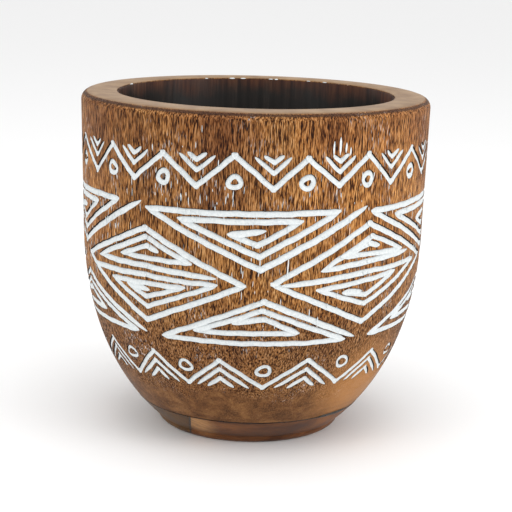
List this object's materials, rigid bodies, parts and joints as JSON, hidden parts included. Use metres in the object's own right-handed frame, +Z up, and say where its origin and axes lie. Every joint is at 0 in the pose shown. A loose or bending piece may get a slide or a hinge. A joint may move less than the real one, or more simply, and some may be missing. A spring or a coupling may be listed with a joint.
{
  "type": "carved wooden bowl",
  "caption": "Deep turned wooden bowl with a carved and white-painted tribal pattern round its wall and a glued board base.",
  "frame": {"origin": "centre of the underside of the base", "axes": "+Z up along the turning axis; the side shown in the picture faces -Y"},
  "size_m": [0.2, 0.2, 0.194],
  "materials": {
    "palm_wood": "oiled palm wood with dark fibres",
    "base_wood": "smooth oiled hardwood",
    "base_wood_dark": "smooth oiled hardwood, darker board",
    "glue": "black filled glue",
    "lining": "dark glossy sealing coat",
    "paint": "matt white paint in the carved lines"
  },
  "bodies": {
    "root": {"shell": "palm_wood", "base_board_wide": "base_wood", "base_board_narrow": "base_wood_dark", "board_joint_glue": "glue", "seam_glue": "glue", "lining_coat": "lining", "paint_upper_zigzag": "paint", "paint_upper_chevrons": "paint", "paint_upper_rings": "paint", "paint_upper_triangles": "paint", "paint_diamonds": "paint", "paint_lower_triangles": "paint", "paint_lower_rings": "paint", "paint_lower_zigzag": "paint", "paint_lower_chevrons": "paint"}
  },
  "joints": []
}
